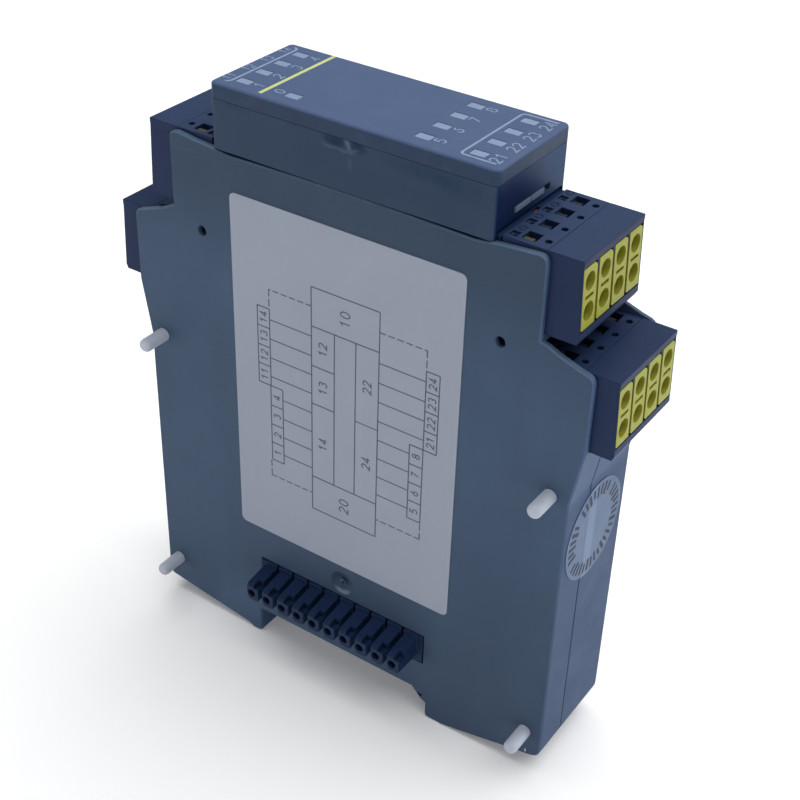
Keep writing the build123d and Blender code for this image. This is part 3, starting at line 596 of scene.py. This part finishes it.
# right bracket, its two arms running outwards
pp.path([(27.0, 9.75)] + oval(21.3, 8.9, 0.9, 0.85, 90, 180, 6) + oval(21.3, -8.7, 0.9, 0.75, 180, 270, 6)
        + [(26.9, -9.45)], 0.42)
for k, y in enumerate(ROWS):
    pp.digits(str(11 + k), -27.0, y + 0.1, 1.5, 0.22, 1)
    pp.digits(str(1 + k), -20.45, y + 0.1, 1.9, 0.25, 1)
    pp.digits(str(5 + k), 15.6, y + 0.1, 1.9, 0.25, 1)
    pp.digits(str(21 + k), 26.15, y + 0.1, 2.0, 0.26, 1)
pp.digits("0", -16.2, -7.5, 1.9, 0.25, 1)
pp.done()

pg = Print("front_line", (0, 0, top_z), (1, 0, 0), (0, 1, 0), ink_green)
pg.path([(-18.45, -10.05), (-18.45, 10.7)], 0.72)
pg.done()

# side label: plane y = -11.41, first direction +X, second +Z (normal -Y)
ly = -11.25 - 0.16
pl = Print("label_print", (0, ly, 0), (1, 0, 0), (0, 0, 1), ink_dark)
w = 0.23
dz = 0.2
pl.rect(-7.0, 33.4 + dz, 7.65, 82.2 + dz, w)
for z in (74.2, 41.1):
    pl.path([(-7.0, z + dz), (7.65, z + dz)], w)
pl.path([(-1.95, 41.1 + dz), (-1.95, 74.2 + dz)], w)
pl.path([(2.7, 41.1 + dz), (2.7, 74.2 + dz)], w)
pl.path([(-7.0, 65.95 + dz), (-1.95, 65.95 + dz)], w)
pl.path([(-7.0, 57.75 + dz), (-1.95, 57.75 + dz)], w)
pl.path([(2.7, 57.75 + dz), (7.65, 57.75 + dz)], w * 0.8)
up = [74.2, 70.1, 66.0, 61.9, 57.75]
lol = [57.75, 53.4, 49.1, 44.9, 40.8]
lor = [57.75, 53.6, 49.5, 45.45, 41.35]


def column(x0, x1, zs):
    pl.rect(x0, zs[-1] + dz, x1, zs[0] + dz, w)
    for z in zs[1:-1]:
        pl.path([(x0, z + dz), (x1, z + dz)], w)


column(-19.25, -16.45, up)
column(-16.55, -13.75, lol)
column(17.4, 20.15, up)
column(14.55, 17.4, lor)
for z in (72.05, 67.95, 63.9, 59.8):
    pl.path([(-16.45, z + dz), (-7.0, z + dz)], w * 0.9)
    pl.path([(7.65, z + dz), (17.4, z + dz)], w * 0.9)
for z in (55.5, 51.25, 47.0, 42.9):
    pl.path([(-13.75, z + dz), (-7.0, z + dz)], w * 0.9)
for z in (55.7, 51.6, 47.5, 43.4):
    pl.path([(7.65, z + dz), (14.55, z + dz)], w * 0.9)
pl.dashed((-7.0, 78.25 + dz), (-16.5, 78.25 + dz), w)
pl.dashed((-16.5, 78.25 + dz), (-16.5, 74.6 + dz), w, 1.3)
pl.dashed((7.7, 78.25 + dz), (17.4, 78.25 + dz), w)
pl.dashed((17.4, 78.25 + dz), (17.4, 74.6 + dz), w, 1.3)
pl.dashed((-16.75, 40.4 + dz), (-16.75, 36.95 + dz), w, 1.3)
pl.dashed((-16.75, 36.95 + dz), (-7.1, 37.05 + dz), w)
pl.dashed((17.4, 41.0 + dz), (17.4, 37.55 + dz), w, 1.3)
pl.dashed((17.4, 37.55 + dz), (7.75, 37.55 + dz), w)
mids = lambda zs: [(a + b) / 2 + dz for a, b in zip(zs, zs[1:])]
num = 1
for xc, zs, first in ((-17.85, up, 11), (-15.15, lol, 1), (18.8, up, 21), (15.95, lor, 5)):
    for k, z in enumerate(mids(zs)):
        pl.digits(str(first + 3 - k), xc, z, 1.5, 0.22, 1)
for text, a, b, s in (("10", 0.35, 78.1, 2.0), ("20", 0.35, 37.1, 2.0), ("12", -4.5, 70.1, 1.7),
                      ("13", -4.5, 61.9, 1.7), ("14", -4.5, 49.4, 1.7), ("22", 5.2, 66.0, 1.7), ("24", 5.2, 49.4, 1.7)):
    pl.digits(text, a, b + dz, s, 0.24, 1)
pl.done()

# end seal: plane x = 46.4, first direction +Y, second +Z
ps = Print("seal_print", (46.4, 0, 0), (0, 1, 0), (0, 0, 1), ink_seal)
step = 2 * math.pi / 37
for i in range(34):
    # three runs of plain marks round the rim, a wider gap between the runs
    a = math.radians(196) - step * (i + (1.0 if i > 5 else 0) + (1.0 if i > 13 else 0))
    c, s = math.cos(a), math.sin(a)
    r0 = (6.95, 7.5, 6.95, 7.2)[i % 4]
    ps.line((-0.2 + r0 * c, 47.1 + r0 * s), (-0.2 + 8.75 * c, 47.1 + 8.75 * s), 0.62 if i % 4 else 0.76)
ps.done()

# ------------------------------------------------------------ latch spring
# an open coil of wire, standing in for the hidden latch spring
COIL_A, COIL_B, COIL_R, WIRE_R, COIL_Z, COILS = 26.25, 34.0, 0.88, 0.17, -1.75, 6.5
me = bpy.data.meshes.new("latch_spring_coil")
bm = bmesh.new()
rings = []
steps = int(COILS * 28)
for i in range(steps + 1):
    t = 2 * math.pi * COILS * i / steps
    mid = Vector((COIL_A + (COIL_B - COIL_A) * i / steps, COIL_R * math.sin(t), COIL_Z - COIL_R * math.cos(t)))
    out = Vector((0.0, math.sin(t), -math.cos(t)))
    run = Vector(((COIL_B - COIL_A) / (2 * math.pi * COILS), COIL_R * math.cos(t), COIL_R * math.sin(t))).normalized()
    side = run.cross(out)
    rings.append([bm.verts.new((mid + (out * math.cos(k * math.pi / 5) + side * math.sin(k * math.pi / 5)) * WIRE_R) * MM)
                  for k in range(10)])
for r0, r1 in zip(rings, rings[1:]):
    for k in range(10):
        bm.faces.new((r0[k], r0[(k + 1) % 10], r1[(k + 1) % 10], r1[k]))
bm.faces.new(rings[0][::-1])
bm.faces.new(rings[-1])
bmesh.ops.recalc_face_normals(bm, faces=bm.faces)
bm.to_mesh(me)
bm.free()
coil = bpy.data.objects.new("latch_spring_coil", me)
scene.collection.objects.link(coil)
me.materials.append(spring_mat)
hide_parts("latch_spring")
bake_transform(coil)

# ------------------------------------------------------------------- stage
me = bpy.data.meshes.new("floor")
bm = bmesh.new()
S = 3.0
fz = -6.3 * MM
vs = [bm.verts.new((x, y, fz)) for x, y in ((-S, -S), (S, -S), (S, S), (-S, S))]
bm.faces.new(vs)
bm.to_mesh(me)
bm.free()
floor = bpy.data.objects.new("floor", me)
scene.collection.objects.link(floor)
fm = Mat("floor_paper")
fm.link(fm.mix(fm.noise(6.0, 3.0), (0.93, 0.93, 0.93), (0.95, 0.95, 0.95)), fm.b.inputs["Base Color"])
fm.b.inputs["Roughness"].default_value = 0.9
fm.b.inputs["Specular IOR Level"].default_value = 0.1
# the sheet glows a little, more so far out, where the studio light falls off
fr = fm.math("SUBTRACT", 1.0, fm.near((0.0, 0.0, -6.3), 250.0, 1500.0))
fm.link(fm.mix(fr, (0.14, 0.14, 0.14), (0.80, 0.80, 0.80)), fm.b.inputs["Emission Color"])
fm.b.inputs["Emission Strength"].default_value = 1.0
me.materials.append(fm.m)

world = bpy.data.worlds.new("studio")
scene.world = world
world.use_nodes = True
wt = world.node_tree
wt.nodes["Background"].inputs[0].default_value = (0.97, 0.98, 1.0, 1)
wc = wt.nodes.new("ShaderNodeTexCoord")
wx = wt.nodes.new("ShaderNodeSeparateXYZ")
wt.links.new(wc.outputs["Generated"], wx.inputs[0])
# pale at the horizon, dim overhead, where the soft key light hangs
wm = wt.nodes.new("ShaderNodeMapRange")
wm.interpolation_type = "SMOOTHSTEP"
for key, v in (("From Min", 0.04), ("From Max", 0.30), ("To Min", 0.92), ("To Max", 0.10)):
    wm.inputs[key].default_value = v
wt.links.new(wx.outputs[2], wm.inputs["Value"])
wt.links.new(wm.outputs[0], wt.nodes["Background"].inputs[1])


def area(name, loc, target, size, power, color=(1, 1, 1)):
    li = bpy.data.lights.new(name, "AREA")
    li.shape = "RECTANGLE"
    li.size, li.size_y = size
    li.energy = power
    li.color = color
    o = bpy.data.objects.new(name, li)
    o.location = Vector(loc)
    d = Vector(target) - Vector(loc)
    o.rotation_euler = d.to_track_quat("-Z", "Y").to_euler()
    scene.collection.objects.link(o)
    return o


area("key_top", (0.12, 0.22, 1.05), (0, 0, 0.03), (1.7, 1.6), 20.5)
area("fill_right", (0.75, 0.45, 0.20), (0, 0, 0.05), (0.5, 0.4), 0.8)
area("fill_front", (-0.50, -0.62, 0.06), (0, 0, 0.06), (0.3, 0.25), 0.6)

# ------------------------------------------------------------------ camera
F_PX = 1463.062
RV = Vector((2.082527, 0.662278, -0.312633))
TV = Vector((-2.275776, -48.981985, 239.930697))
CAM_R = None


def rod(v):
    th = v.length
    return Matrix.Rotation(th, 3, v / th)


R = rod(RV)
T = TV - R @ Vector((0, 0, 114.5))
C = -(R.transposed() @ T)
cam = bpy.data.cameras.new("camera")
cam.sensor_fit = "HORIZONTAL"
cam.sensor_width = 36.0
cam.lens = 36.0 * F_PX / 800.0
cam.clip_start = 0.01
cam.clip_end = 20.0
co = bpy.data.objects.new("camera", cam)
B = R.transposed() @ Matrix(((1, 0, 0), (0, -1, 0), (0, 0, -1)))
co.matrix_world = Matrix.Translation(C * MM) @ B.to_4x4()
scene.collection.objects.link(co)
scene.camera = co
scene.view_settings.view_transform = "Standard"
